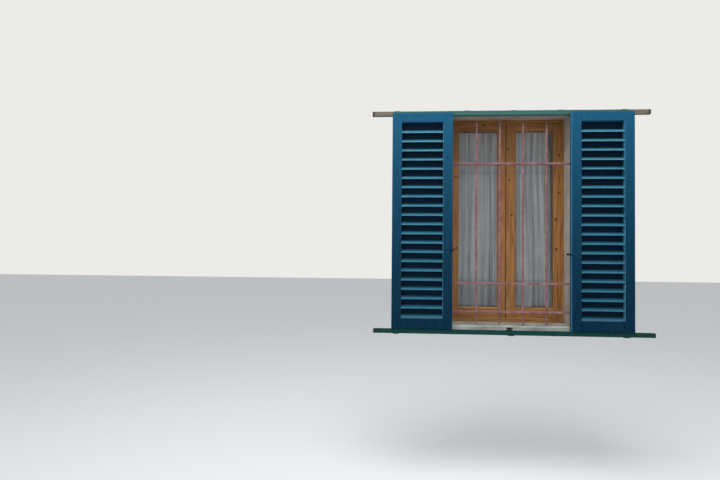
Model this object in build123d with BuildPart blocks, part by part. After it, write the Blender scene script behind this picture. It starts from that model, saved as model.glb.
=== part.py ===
from build123d import *
from math import atan2, cos, degrees, pi, radians, sin
import os

os.makedirs("parts", exist_ok=True)

# A casement window of pine in a plastered reveal, with a steel grille in front of it
# and a pair of louvred steel shutters that slide sideways on two rails.
# X runs to the right, Y into the building and Z up. The origin lies on the wall's
# outer face, in the middle of the four wall bolts that hold the rails.

# Wall bolts
bolt_span_x = 1600.0
bolt_span_z = 1510.0
wall_bolt_r = 4.5

# Reveal and sill
reveal_middle_x = 30.0
reveal_w = 858.0
reveal_h = 1540.0
reveal_depth = 233.0
jamb_lining_t = 30.0
head_lining_t = 16.0
sill_above_bolts = 15.0
sill_t = 40.0
sill_nose = 17.0
sill_ear = 10.0
sill_edge_r = 5.0

# Casement frame
frame_depth = 63.0
frame_lip_t = 18.0
jamb_sight = 22.0
head_sight = 26.0
foot_sight = 30.0
rebate_w = 12.0
frame_edge = 2.0
frame_screw_r = 2.5
frame_screw_head_r = 5.0
frame_screw_head_h = 3.0
frame_screw_bite = 30.0
frame_screw_count = 4
frame_screw_end = 120.0

# Sashes
sash_t = 44.0
sash_gap = 3.0
lip_gap = 0.5
hinge_stile_sight = 52.0
left_meeting_stile = 58.0
right_meeting_stile = 72.0
top_rail_sight = 58.0
foot_rail_sight = 80.0
meeting_gap_out = 7.0
meeting_gap_in = 1.5
meeting_step = 20.0
glass_t = 4.0
glass_set_back = 14.5
glass_rebate = 10.0
glass_clear = 2.0
bead_depth = 18.0
bead_edge = 5.0
sash_bevel = 5.0

# Sash hinges
hinge_r = 6.5
hinge_off = 7.0
hinge_half_h = 28.0
hinge_split = 0.3
hinge_pin_r = 3.5
hinge_pin_h = 24.0
hinge_run = 0.05
hinge_shank_r = 3.0
hinge_shank_l = 46.0
hinge_shank_clear = 1.0
hinge_heights = (200.0, 760.0, 1290.0)
screw_clear = 0.05

# Espagnolette bolt and handle
handle_height = 700.0
bolt_set_in = 24.5
bolt_r = 4.0
bolt_tip = 1.0
bolt_behind_step = 8.0
bolt_in_case = 8.0
bolt_run = 0.1
bolt_throw = 16.0
bolt_hole_clear = 0.6
bolt_hole_extra = 4.0
case_w = 24.0
case_h = 140.0
case_d = 23.0
case_wall = 2.0
case_flange_w = 32.0
case_flange_h = 164.0
case_flange_t = 2.5
case_flange_edge_r = 8.0
spindle_r = 5.0
spindle_in = 14.0
neck_r = 8.0
neck_l = 34.0
lever_l = 112.0
lever_r = 6.5
lever_h = 16.0
lever_t = 10.4
lever_edge_r = 2.2
rose_r = 14.0
rose_t = 6.0

# Net curtains
rod_r = 4.0
rod_stand_off = 18.0
rod_above_glass_top = 8.0
rod_past_glass = 30.0
rod_bend_r = 9.0
curtain_t = 1.0
curtain_wave = 6.0
curtain_folds = 11
curtain_seat = 0.3
curtain_side_clear = 10.0
curtain_below_glass = 10.0

# Grille
grille_y = 40.0
upright_count = 4
upright_r = 8.0
upright_edge = 1.3
upright_pitch = 167.0
upright_foot = 10.0
upright_top = 56.0
cross_bar_d = 30.0
cross_bar_h = 14.0
cross_bar_edge_r = 1.0
cross_bar_heights = {"lower": 98.0, "middle": 304.0, "upper": 1174.0}
weld_clear = 0.05

# Rails
rail_wall = 3.0
top_rail_l = 1955.0
top_rail_d = 32.0
top_rail_h = 33.0
top_rail_edge_r = 2.7
top_rail_above_reveal = 6.0
top_rail_slot = 12.0
guide_rail_l = 1948.0
guide_rail_shift = 14.0
guide_rail_edge_r = 2.4
foot_rail_d = 34.0
foot_rail_h = 30.0
bracket_t = 4.0
bracket_top_t = 2.0
bracket_w = 40.0
bracket_hole_above_end = 15.0
middle_bracket_pitch = 330.0
head_screw_above_soffit = 4.0
foot_bracket_x = 8.0
foot_bracket_top = 7.0
foot_bracket_nose = 5.0
foot_bracket_hole_pitch = 22.0
rail_screw_r = 3.0
rail_screw_head_r = 5.5
rail_screw_head_h = 3.0
guide_screw_head_h = 2.0
bracket_screw_r = 2.0
bracket_screw_head_r = 3.5
bracket_screw_l = 30.0
bracket_screw_sink = 1.0
sill_screw_head_h = 2.0
cap_t = 3.0
cap_plug = 20.0
cap_clear = 0.3
stop_gap = 0.5
stop_h = 20.0
stop_edge_r = 3.0
stop_hole_clear = 1.0

# Shutters
shutter_w = 430.0
shutter_h = 1543.0
shutter_t = 48.0
shutter_back_gap = 2.0
left_rest_edge = -404.0
right_rest_edge = 421.0
closed_gap = 1.0
shutter_above_foot_rail = 2.0
foot_rail_below_sill = 24.0
stile_w = 68.0
tube_wall = 2.0
tube_edge_r = 3.0
shutter_top_rail = 66.0
shutter_foot_rail = 76.0
slat_count = 21
slat_pitch = 66.0
slat_t = 2.0
slat_set_back = 1.0
slat_drop = 25.0
slat_front_lip = 4.0
slat_back_lip = 48.0
slat_foot_gap = 4.0

# Shutter hangers, wheels and guides
hanger_w = 40.0
hanger_t = 4.0
hanger_crank_below = 9.0
hanger_crank_h = 12.0
hanger_tail = 52.0
hanger_head = 8.0
axle_r = 3.0
axle_run = 0.05
collar_r = 5.0
collar_gap = 0.3
wheel_r = 10.5
wheel_w = 6.0
wheel_side_gap = 0.5
wheel_rise = 0.3
wheel_tread = 1.5
guide_l = 30.0
guide_side_gap = 1.0
guide_floor_gap = 3.0
guide_edge_r = 3.0
guide_plug_h = 24.0
plug_clear = 0.5

# Shutter hook and its keeper
hook_height = 559.0
hook_pivot_in = 8.0
hook_plate_w = 16.0
hook_plate_h = 34.0
hook_plate_lift = 8.0
hook_plate_edge_r = 3.0
hook_plate_t = 3.0
hook_plate_gap = 0.4
hook_t = 4.0
hook_bar_h = 10.0
hook_eye_r = 7.0
hook_l = 46.0
hook_rise = 28.0
hook_tip_w = 6.0
hook_tip_h = 9.0
hook_seat_x = 30.0
hook_seat_z = -1.5
hook_notch_w = 8.0
hook_notch_top = 2.0
hook_swing = 65.0
hook_pin_r = 3.0
hook_pin_run = 0.05
hook_pin_head_r = 5.0
hook_pin_head_t = 2.0
keeper_h = 14.0
keeper_nose = 36.0
keeper_tail = 30.0
keeper_edge_r = 4.0
keeper_nose_lift = 0.5
keeper_pin_l = 8.0

# Heights and depths that follow
sill_z = -bolt_span_z / 2 + sill_above_bolts
soffit_z = sill_z + reveal_h
reveal_l = reveal_middle_x - reveal_w / 2
reveal_r = reveal_middle_x + reveal_w / 2
frame_back = reveal_depth + frame_depth
lip_back = reveal_depth + frame_lip_t
sash_front = lip_back + lip_gap
sash_back = sash_front + sash_t
sash_step_y = sash_back - meeting_step
glass_front = sash_front + glass_set_back
glass_back = glass_front + glass_t
lip_half = reveal_w / 2 - jamb_sight
rebate_half = lip_half + rebate_w
frame_half = reveal_w / 2 + jamb_lining_t
frame_top = soffit_z + head_lining_t
sash_outer_half = rebate_half - sash_gap
sash_foot = sill_z + foot_sight - rebate_w + sash_gap
sash_top = soffit_z - head_sight + rebate_w - sash_gap
sight_half = lip_half - hinge_stile_sight
sight_foot = sill_z + foot_sight + foot_rail_sight
sight_top = soffit_z - head_sight - top_rail_sight

rail_top_z = soffit_z + top_rail_above_reveal
rail_foot_z = rail_top_z - top_rail_h
rail_back_y = -bracket_t
rail_front_y = rail_back_y - top_rail_d
rail_mid_y = (rail_back_y + rail_front_y) / 2
shutter_back_y = rail_front_y - shutter_back_gap
shutter_front_y = shutter_back_y - shutter_t
shutter_mid_y = (shutter_back_y + shutter_front_y) / 2
guide_rail_top = sill_z - foot_rail_below_sill
guide_rail_foot = guide_rail_top - foot_rail_h
shutter_foot_z = guide_rail_top + shutter_above_foot_rail
shutter_top_z = shutter_foot_z + shutter_h
hanger_inset = stile_w / 2


def elevation(y):
    """The plane at depth y seen from the front, with X to the right and Z up."""
    return Plane(origin=(0, y, 0), x_dir=(1, 0, 0), z_dir=(0, -1, 0))


def side(x):
    """The plane at x whose own axes are Y and Z."""
    return Plane(origin=(x, 0, 0), x_dir=(0, 1, 0), z_dir=(1, 0, 0))


def block(x, y, z, mode=Mode.ADD):
    """A squared block between pairs of x, y and z, in the part being built."""
    with BuildSketch(Plane.XY.offset(z[0])) as outline:
        with Locations(((x[0] + x[1]) / 2, (y[0] + y[1]) / 2)):
            Rectangle(x[1] - x[0], y[1] - y[0])
    extrude(outline.sketch, amount=z[1] - z[0], mode=mode)


def rod(plane, spots, radius, length, mode=Mode.ADD):
    """Round bars or holes from spots on a plane, along its normal."""
    with BuildSketch(plane) as ends:
        with Locations(*spots):
            Circle(radius)
    extrude(ends.sketch, amount=length, mode=mode)


def save(piece, name):
    piece.part.label = name
    export_step(piece.part, f"parts/{name}.step")


# Reveal lining: the plastered head and sides of the wall opening, in one piece
with BuildPart() as lining:
    with BuildSketch(elevation(reveal_depth)):
        with Locations((reveal_middle_x, (sill_z + frame_top) / 2)):
            Rectangle(2 * frame_half, frame_top - sill_z)
        with Locations((reveal_middle_x, (sill_z + soffit_z) / 2)):
            Rectangle(reveal_w, reveal_h, mode=Mode.SUBTRACT)
    extrude(amount=reveal_depth)
    screw_heights = [
        sill_z + frame_screw_end + i * (reveal_h - 2 * frame_screw_end) / (frame_screw_count - 1)
        for i in range(frame_screw_count)
    ]
    screw_out = reveal_w / 2 + jamb_lining_t / 2
    screw_spots = [
        (reveal_middle_x + hand * screw_out, z) for hand in (-1, 1) for z in screw_heights
    ]
    hole_r = frame_screw_r + screw_clear
    rod(elevation(reveal_depth), screw_spots, hole_r, frame_screw_bite, Mode.SUBTRACT)
    middle_bracket_xs = [reveal_middle_x + i * middle_bracket_pitch for i in (-1, 0, 1)]
    top_screw_spots = [(x, soffit_z + head_screw_above_soffit) for x in middle_bracket_xs]
    bracket_hole_r = bracket_screw_r + screw_clear
    bite = bracket_screw_l - bracket_t
    rod(elevation(bite), top_screw_spots, bracket_hole_r, bite, Mode.SUBTRACT)
save(lining, "reveal_lining")

# Sill: one slab of white stone under the lining and the frame
foot_screw_spots = [
    (foot_bracket_x + i * foot_bracket_hole_pitch / 2, sill_z - sill_t / 2) for i in (-1, 1)
]
with BuildPart() as sill:
    block(
        (reveal_middle_x - frame_half - sill_ear, reveal_middle_x + frame_half + sill_ear),
        (-sill_nose, frame_back),
        (sill_z - sill_t, sill_z),
    )
    fillet(sill.faces().sort_by(Axis.Y)[0].edges().filter_by(Axis.X), sill_edge_r)
    rod(elevation(bite - sill_nose), foot_screw_spots, bracket_hole_r, bite, Mode.SUBTRACT)
save(sill, "sill_slab")

# Hinge places, shared by the frame and the sashes
hinge_axis_out = (rebate_half + sash_outer_half) / 2
hinge_y = frame_back + hinge_off
hinge_zs = [sill_z + h for h in hinge_heights]


def shank_planes(hand, reach, heights):
    """Planes at the hinge barrels whose normals run into the frame or the sash."""
    x = reveal_middle_x + hand * hinge_axis_out
    return [Plane(origin=(x, hinge_y, z), z_dir=(reach * hand, -1, 0)) for z in heights]


frame_shank_zs = [z + hinge_half_h / 2 for z in hinge_zs]
sash_shank_zs = [z + hinge_half_h * 1.5 + hinge_split for z in hinge_zs]
bolt_x = reveal_middle_x + meeting_gap_in / 2 + bolt_set_in
bolt_y = sash_step_y + bolt_behind_step
keep_r = bolt_r + bolt_hole_clear
keep_depth = bolt_throw - sash_gap + bolt_hole_extra

# Casement frame: two jambs, with the head and the foot between them
for side_name, hand in (("left", -1), ("right", 1)):
    with BuildPart() as jamb:
        outer = reveal_middle_x + hand * frame_half
        lip = reveal_middle_x + hand * lip_half
        rebate = reveal_middle_x + hand * rebate_half
        block(sorted((lip, outer)), (reveal_depth, lip_back), (sill_z, frame_top))
        block(sorted((rebate, outer)), (lip_back, frame_back), (sill_z, frame_top))
        front_edges = jamb.edges().filter_by(Axis.Z).group_by(Axis.Y)[0].sort_by(Axis.X)
        chamfer(front_edges[0] if hand > 0 else front_edges[-1], frame_edge)
        own_spots = [spot for spot in screw_spots if (spot[0] - reveal_middle_x) * hand > 0]
        rod(elevation(frame_back), own_spots, hole_r, frame_depth, Mode.SUBTRACT)
        with BuildSketch(elevation(frame_back)):
            with Locations(*own_spots):
                Circle(frame_screw_head_r + screw_clear)
        extrude(amount=frame_screw_head_h, mode=Mode.SUBTRACT)
        for plane in shank_planes(hand, 1, frame_shank_zs):
            rod(plane, [(0, 0)], hinge_shank_r + screw_clear,
                hinge_shank_l + hinge_shank_clear, Mode.SUBTRACT)
    save(jamb, f"frame_{side_name}_jamb")

rails = {
    "head": (soffit_z - head_sight, soffit_z - head_sight + rebate_w, frame_top),
    "foot": (sill_z + foot_sight, sill_z + foot_sight - rebate_w, sill_z),
}
for rail_name, (lip_z, rebate_z, outer_z) in rails.items():
    with BuildPart() as rail:
        x = (reveal_middle_x - lip_half, reveal_middle_x + lip_half)
        block(x, (reveal_depth, lip_back), sorted((lip_z, outer_z)))
        front_edges = rail.edges().filter_by(Axis.X).group_by(Axis.Y)[0].sort_by(Axis.Z)
        chamfer(front_edges[0] if rail_name == "head" else front_edges[-1], frame_edge)
        x = (reveal_middle_x - rebate_half, reveal_middle_x + rebate_half)
        block(x, (lip_back, frame_back), sorted((rebate_z, outer_z)))
        away = 1 if rail_name == "head" else -1
        keep_plane = Plane(origin=(bolt_x, bolt_y, rebate_z), z_dir=(0, 0, away))
        rod(keep_plane, [(0, 0)], keep_r, keep_depth, Mode.SUBTRACT)
    save(rail, f"frame_{rail_name}")

# Frame screws: sunk heads in the jambs, biting into the lining behind the plaster
with BuildPart() as frame_screws:
    rod(elevation(frame_back), screw_spots, frame_screw_r, frame_depth + frame_screw_bite)
    rod(elevation(frame_back), screw_spots, frame_screw_head_r, frame_screw_head_h)
save(frame_screws, "frame_screws")

# Frame halves of the hinges: a barrel with its pin, and a shank screwed into the jamb
with BuildPart() as frame_hinges:
    for hand in (-1, 1):
        x = reveal_middle_x + hand * hinge_axis_out
        for z in hinge_zs:
            rod(Plane.XY.offset(z), [(x, hinge_y)], hinge_r, hinge_half_h)
            rod(Plane.XY.offset(z + hinge_half_h), [(x, hinge_y)], hinge_pin_r, hinge_pin_h)
        for plane in shank_planes(hand, 1, frame_shank_zs):
            rod(plane, [(0, 0)], hinge_shank_r, hinge_shank_l)
save(frame_hinges, "frame_hinge_halves")

# Sashes: stiles and rails glued up into one frame, with glass, beads and hinges
case_z = sill_z + handle_height
meeting_widths = {"left": left_meeting_stile, "right": right_meeting_stile}
for side_name, hand in (("left", -1), ("right", 1)):
    sight_in = meeting_gap_out / 2 + meeting_widths[side_name]
    sight_x = sorted((reveal_middle_x + hand * sight_in, reveal_middle_x + hand * sight_half))
    sight_w = sight_x[1] - sight_x[0]
    sight_h = sight_top - sight_foot
    sight_middle = ((sight_x[0] + sight_x[1]) / 2, (sight_top + sight_foot) / 2)
    outer_x = reveal_middle_x + hand * sash_outer_half
    meet_out = reveal_middle_x + hand * meeting_gap_out / 2
    meet_in = reveal_middle_x + hand * meeting_gap_in / 2

    with BuildPart() as sash:
        z_span = (sash_foot, sash_top)
        block(sorted((meet_out, outer_x)), (sash_front, sash_step_y), z_span)
        block(sorted((meet_in, outer_x)), (sash_step_y, sash_back), z_span)
        with BuildSketch(elevation(sash_back)):
            with Locations(sight_middle):
                Rectangle(sight_w, sight_h)
        extrude(amount=sash_t, mode=Mode.SUBTRACT)
        front_face = sash.faces().filter_by(Axis.Y).sort_by(Axis.Y)[0]
        chamfer(front_face.inner_wires().edges(), sash_bevel)
        with BuildSketch(elevation(sash_back)):
            with Locations(sight_middle):
                Rectangle(sight_w + 2 * glass_rebate, sight_h + 2 * glass_rebate)
        extrude(amount=sash_back - glass_front, mode=Mode.SUBTRACT)
        for plane in shank_planes(hand, -1, sash_shank_zs):
            rod(plane, [(0, 0)], hinge_shank_r + screw_clear,
                hinge_shank_l + hinge_shank_clear, Mode.SUBTRACT)
        if hand > 0:
            rod(Plane.XY.offset(sash_foot), [(bolt_x, bolt_y)], bolt_r + bolt_run,
                sash_top - sash_foot, Mode.SUBTRACT)
            block((bolt_x - case_w / 2, bolt_x + case_w / 2), (sash_back - case_d, sash_back),
                  (case_z - case_h / 2, case_z + case_h / 2), Mode.SUBTRACT)
    save(sash, f"{side_name}_sash_frame")

    with BuildPart() as glass:
        edge = 2 * (glass_rebate - glass_clear)
        with BuildSketch(elevation(glass_back)):
            with Locations(sight_middle):
                Rectangle(sight_w + edge, sight_h + edge)
        extrude(amount=glass_t)
    save(glass, f"{side_name}_sash_glass")

    with BuildPart() as beads:
        with BuildSketch(elevation(glass_back + bead_depth)):
            with Locations(sight_middle):
                Rectangle(sight_w + 2 * glass_rebate, sight_h + 2 * glass_rebate)
                Rectangle(sight_w, sight_h, mode=Mode.SUBTRACT)
        extrude(amount=bead_depth)
        back_face = beads.faces().filter_by(Axis.Y).sort_by(Axis.Y)[-1]
        chamfer(back_face.inner_wires().edges(), bead_edge)
    save(beads, f"{side_name}_sash_beads")

    with BuildPart() as sash_hinges:
        pivot_x = reveal_middle_x + hand * hinge_axis_out
        for z in hinge_zs:
            top_half = Plane.XY.offset(z + hinge_half_h + hinge_split)
            rod(top_half, [(pivot_x, hinge_y)], hinge_r, hinge_half_h)
        for plane in shank_planes(hand, -1, sash_shank_zs):
            rod(plane, [(0, 0)], hinge_shank_r, hinge_shank_l)
        for z in hinge_zs:
            top_half = Plane.XY.offset(z + hinge_half_h + hinge_split)
            rod(top_half, [(pivot_x, hinge_y)], hinge_pin_r + hinge_run, hinge_pin_h, Mode.SUBTRACT)
    save(sash_hinges, f"{side_name}_sash_hinge_halves")

    # Curtain rod: a bent steel bar let against the stiles, and the net that hangs on it
    rod_y = sash_back + rod_stand_off
    rod_z = sight_top + rod_above_glass_top
    rod_x = (sight_x[0] - rod_past_glass, sight_x[1] + rod_past_glass)
    with BuildPart() as curtain_rod:
        with BuildLine() as rod_path:
            FilletPolyline(
                (rod_x[0], sash_back, rod_z), (rod_x[0], rod_y, rod_z),
                (rod_x[1], rod_y, rod_z), (rod_x[1], sash_back, rod_z),
                radius=rod_bend_r,
            )
        with BuildSketch(Plane(origin=rod_path.line @ 0, z_dir=rod_path.line % 0)):
            Circle(rod_r)
        sweep()
    save(curtain_rod, f"{side_name}_curtain_rod")

    net_x = (rod_x[0] + curtain_side_clear, rod_x[1] - curtain_side_clear)
    net_top = rod_z - rod_r - curtain_seat
    net_foot = sight_foot - curtain_below_glass
    steps = 4 * curtain_folds
    crests = [
        (net_x[0] + i * (net_x[1] - net_x[0]) / steps,
         rod_y + curtain_wave * sin(2 * pi * i * curtain_folds / steps))
        for i in range(steps + 1)
    ]
    with BuildPart() as net:
        with BuildSketch(Plane.XY.offset(net_foot)):
            with BuildLine():
                front_edge = Spline(*[(x, y - curtain_t / 2) for x, y in crests])
                back_edge = Spline(*[(x, y + curtain_t / 2) for x, y in crests])
                Line(front_edge @ 0, back_edge @ 0)
                Line(front_edge @ 1, back_edge @ 1)
            make_face()
        extrude(amount=net_top - net_foot)
    save(net, f"{side_name}_net_curtain")

# Espagnolette case: a flanged steel box let into the right meeting stile
with BuildPart() as handle_case:
    case_x = (bolt_x - case_w / 2, bolt_x + case_w / 2)
    case_ends = (case_z - case_h / 2, case_z + case_h / 2)
    block(case_x, (sash_back - case_d, sash_back), case_ends)
    block((bolt_x - case_flange_w / 2, bolt_x + case_flange_w / 2),
          (sash_back, sash_back + case_flange_t),
          (case_z - case_flange_h / 2, case_z + case_flange_h / 2))
    flange_corners = handle_case.edges().filter_by(Axis.Y).group_by(Axis.Z)
    fillet(flange_corners[0] + flange_corners[-1], case_flange_edge_r)
    block((case_x[0] + case_wall, case_x[1] - case_wall),
          (sash_back - case_d + case_wall, sash_back),
          (case_ends[0] + case_wall, case_ends[1] - case_wall), Mode.SUBTRACT)
    rod(Plane.XY.offset(case_ends[0]), [(bolt_x, bolt_y)], bolt_r + bolt_run, case_h,
        Mode.SUBTRACT)
    rod(elevation(sash_back + case_flange_t), [(bolt_x, case_z)], spindle_r + axle_run,
        case_flange_t, Mode.SUBTRACT)
save(handle_case, "handle_case")

# Bolts: two round bars that run in the meeting stile, up into the head and down
bolt_tail = bolt_throw + bolt_in_case
for bolt_name, tip_z, tail_z in (
    ("top_bolt", sash_top, case_ends[1] - bolt_tail),
    ("foot_bolt", sash_foot, case_ends[0] + bolt_tail),
):
    with BuildPart() as shoot_bolt:
        low, high = sorted((tip_z, tail_z))
        rod(Plane.XY.offset(low), [(bolt_x, bolt_y)], bolt_r, high - low)
        tip_face = Axis.Z if bolt_name == "foot_bolt" else -Axis.Z
        chamfer(shoot_bolt.faces().sort_by(tip_face)[0].edges(), bolt_tip)
    save(shoot_bolt, bolt_name)

# Handle: a lever on a necked spindle
lever_y = sash_back + case_flange_t + neck_l
with BuildPart() as handle:
    flange_back = sash_back + case_flange_t + axle_run
    rod(elevation(lever_y), [(bolt_x, case_z)], neck_r, lever_y - flange_back)
    rod(elevation(flange_back + rose_t), [(bolt_x, case_z)], rose_r, rose_t)
    rod(elevation(flange_back), [(bolt_x, case_z)], spindle_r, case_flange_t + spindle_in)
    with BuildSketch(elevation(lever_y)):
        with Locations((bolt_x + lever_l / 2 - lever_r, case_z)):
            SlotOverall(lever_l + 2 * lever_r, lever_h)
    extrude(amount=lever_t)
    lever_faces = handle.faces().filter_by(Axis.Y).sort_by(Axis.Y)
    fillet(lever_faces[-1].edges(), lever_edge_r)
save(handle, "handle")

# Grille: three flat bars between the reveal's sides, and four uprights through them
upright_xs = [
    reveal_middle_x + (i - (upright_count - 1) / 2) * upright_pitch for i in range(upright_count)
]
for bar_name, height in cross_bar_heights.items():
    with BuildPart() as cross_bar:
        bar_z = (sill_z + height - cross_bar_h / 2, sill_z + height + cross_bar_h / 2)
        bar_y = (grille_y - cross_bar_d / 2, grille_y + cross_bar_d / 2)
        block((reveal_l, reveal_r), bar_y, bar_z)
        fillet(cross_bar.edges().filter_by(Axis.X), cross_bar_edge_r)
        spots = [(x, grille_y) for x in upright_xs]
        rod(Plane.XY.offset(bar_z[0]), spots, upright_r + weld_clear, cross_bar_h, Mode.SUBTRACT)
    save(cross_bar, f"grille_{bar_name}_bar")

for number, x in enumerate(upright_xs, start=1):
    with BuildPart() as upright:
        length = reveal_h - upright_foot - upright_top
        rod(Plane.XY.offset(sill_z + upright_foot), [(x, grille_y)], upright_r, length)
        chamfer(upright.edges().filter_by(GeomType.CIRCLE), upright_edge)
    save(upright, f"grille_upright_{number}")

# Top rail: a channel of folded steel, open below along a slot
slot = (rail_mid_y - top_rail_slot / 2, rail_mid_y + top_rail_slot / 2)
bolt_xs = (-bolt_span_x / 2, bolt_span_x / 2)
top_bracket_xs = [bolt_xs[0], *middle_bracket_xs, bolt_xs[1]]
rail_screw_spots = [(x, rail_mid_y) for x in top_bracket_xs]
rail_screw_hole_r = rail_screw_r + screw_clear
with BuildPart() as top_rail:
    with BuildSketch(side(-top_rail_l / 2)):
        with Locations((rail_mid_y, (rail_top_z + rail_foot_z) / 2)):
            RectangleRounded(top_rail_d, top_rail_h, top_rail_edge_r)
            Rectangle(top_rail_d - 2 * rail_wall, top_rail_h - 2 * rail_wall, mode=Mode.SUBTRACT)
        with Locations((rail_mid_y, rail_foot_z + rail_wall / 2)):
            Rectangle(top_rail_slot, rail_wall, mode=Mode.SUBTRACT)
    extrude(amount=top_rail_l)
    rod(Plane.XY.offset(rail_top_z - rail_wall), rail_screw_spots, rail_screw_hole_r, rail_wall,
        Mode.SUBTRACT)
save(top_rail, "top_rail")

# Guide rail: a smaller channel under the shutters, open above
foot_screw_rail_xs = (bolt_xs[0], foot_bracket_x, bolt_xs[1])
foot_rail_spots = [(x, shutter_mid_y) for x in foot_screw_rail_xs]
with BuildPart() as guide_rail:
    with BuildSketch(side(guide_rail_shift - guide_rail_l / 2)):
        with Locations((shutter_mid_y, (guide_rail_top + guide_rail_foot) / 2)):
            Rectangle(foot_rail_d, foot_rail_h)
        with Locations((shutter_mid_y, guide_rail_foot + (foot_rail_h + rail_wall) / 2)):
            Rectangle(foot_rail_d - 2 * rail_wall, foot_rail_h - rail_wall, mode=Mode.SUBTRACT)
    extrude(amount=guide_rail_l)
    fillet(guide_rail.edges().filter_by(Axis.X).group_by(Axis.Z)[0], guide_rail_edge_r)
    rod(Plane.XY.offset(guide_rail_foot), foot_rail_spots, rail_screw_hole_r, rail_wall,
        Mode.SUBTRACT)
save(guide_rail, "guide_rail")

# Brackets of the top rail: angles, the outer two with a long leg for the wall bolt
with BuildPart() as top_brackets:
    for x in top_bracket_xs:
        width = (x - bracket_w / 2, x + bracket_w / 2)
        long_leg = bolt_span_z / 2 - bracket_hole_above_end
        leg_foot = long_leg if x in bolt_xs else rail_foot_z + rail_wall
        block(width, (rail_back_y, 0), (leg_foot, rail_top_z + bracket_top_t))
        block(width, (rail_front_y, rail_back_y), (rail_top_z, rail_top_z + bracket_top_t))
    wall_spots = [(x, bolt_span_z / 2) for x in bolt_xs]
    rod(elevation(0), wall_spots, wall_bolt_r, bracket_t, Mode.SUBTRACT)
    rod(elevation(0), top_screw_spots, bracket_hole_r, bracket_t, Mode.SUBTRACT)
    rod(elevation(rail_back_y + bracket_screw_sink), top_screw_spots,
        bracket_screw_head_r + screw_clear, bracket_screw_sink, Mode.SUBTRACT)
    rod(Plane.XY.offset(rail_top_z), rail_screw_spots, rail_screw_hole_r, bracket_top_t,
        Mode.SUBTRACT)
save(top_brackets, "top_rail_brackets")

# Brackets of the guide rail: two on the wall, and one on the sill's front edge
with BuildPart() as foot_brackets:
    leg_z = (guide_rail_foot - bracket_t, guide_rail_foot)
    foot_front = shutter_mid_y - foot_rail_d / 2
    for x in bolt_xs:
        width = (x - bracket_w / 2, x + bracket_w / 2)
        block(width, (foot_front, 0), leg_z)
        block(width, (-bracket_t, 0), (guide_rail_foot, bracket_hole_above_end - bolt_span_z / 2))
    width = (foot_bracket_x - bracket_w / 2, foot_bracket_x + bracket_w / 2)
    block(width, (foot_front - foot_bracket_nose, -sill_nose), leg_z)
    block(width, (-sill_nose - bracket_t, -sill_nose), (guide_rail_foot, sill_z - foot_bracket_top))
    wall_spots = [(x, -bolt_span_z / 2) for x in bolt_xs]
    rod(elevation(0), wall_spots, wall_bolt_r, bracket_t, Mode.SUBTRACT)
    rod(elevation(-sill_nose), foot_screw_spots, bracket_hole_r, bracket_t, Mode.SUBTRACT)
    rod(Plane.XY.offset(leg_z[0]), foot_rail_spots, rail_screw_hole_r, bracket_t, Mode.SUBTRACT)
save(foot_brackets, "guide_rail_brackets")

# Screws of the rails and brackets
with BuildPart() as rail_screws:
    web_z = rail_top_z - rail_wall
    rod(Plane.XY.offset(web_z), rail_screw_spots, rail_screw_r, rail_wall + bracket_top_t)
    rod(Plane.XY.offset(web_z - rail_screw_head_h), rail_screw_spots, rail_screw_head_r,
        rail_screw_head_h)
    floor_z = guide_rail_foot + rail_wall
    rod(Plane.XY.offset(leg_z[0]), foot_rail_spots, rail_screw_r, rail_wall + bracket_t)
    rod(Plane.XY.offset(floor_z), foot_rail_spots, rail_screw_head_r, guide_screw_head_h)
save(rail_screws, "rail_screws")

with BuildPart() as bracket_screws:
    rod(elevation(bite), top_screw_spots, bracket_screw_r, bite + bracket_t)
    rod(elevation(rail_back_y + bracket_screw_sink), top_screw_spots, bracket_screw_head_r,
        bracket_screw_sink)
    rod(elevation(bite - sill_nose), foot_screw_spots, bracket_screw_r, bite + bracket_t)
    rod(elevation(-sill_nose - bracket_t), foot_screw_spots, bracket_screw_head_r,
        sill_screw_head_h)
save(bracket_screws, "bracket_screws")

# End caps: a plate over each rail's end with a plug that stops the shutter
with BuildPart() as caps:
    for hand in (-1, 1):
        top_end = hand * top_rail_l / 2
        foot_end = guide_rail_shift + hand * guide_rail_l / 2
        top_plate, top_plug, foot_plate, foot_plug = (
            sorted((end, end + hand * reach))
            for end in (top_end, foot_end)
            for reach in (cap_t, -cap_plug)
        )
        block(top_plate, (rail_front_y, rail_back_y), (rail_foot_z, rail_top_z))
        block(top_plug, (rail_front_y + rail_wall + cap_clear, rail_back_y - rail_wall - cap_clear),
              (rail_foot_z + rail_wall + cap_clear, rail_top_z - rail_wall - cap_clear))
        guide_y = (shutter_mid_y - foot_rail_d / 2, shutter_mid_y + foot_rail_d / 2)
        block(foot_plate, guide_y, (guide_rail_foot, guide_rail_top))
        block(foot_plug, (guide_y[0] + rail_wall + cap_clear, guide_y[1] - rail_wall - cap_clear),
              (guide_rail_foot + rail_wall + cap_clear, guide_rail_top - cap_clear))
save(caps, "rail_end_caps")

# Centre stop: a steel block bolted in the guide rail, where the closed shutters meet
guide_inner_x = closed_gap / 2 + hanger_inset - guide_l / 2
stop_half = guide_inner_x - stop_gap
with BuildPart() as centre_stop:
    stop_z = guide_rail_foot + rail_wall
    block((reveal_middle_x - stop_half, reveal_middle_x + stop_half),
          (shutter_mid_y - foot_rail_d / 2 + rail_wall + cap_clear,
           shutter_mid_y + foot_rail_d / 2 - rail_wall - cap_clear),
          (stop_z, stop_z + stop_h))
    fillet(centre_stop.edges().filter_by(Axis.Y).group_by(Axis.Z)[-1], stop_edge_r)
    rod(Plane.XY.offset(stop_z), foot_rail_spots[1:2], rail_screw_head_r + stop_hole_clear, stop_h,
        Mode.SUBTRACT)
save(centre_stop, "centre_stop")

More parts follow.
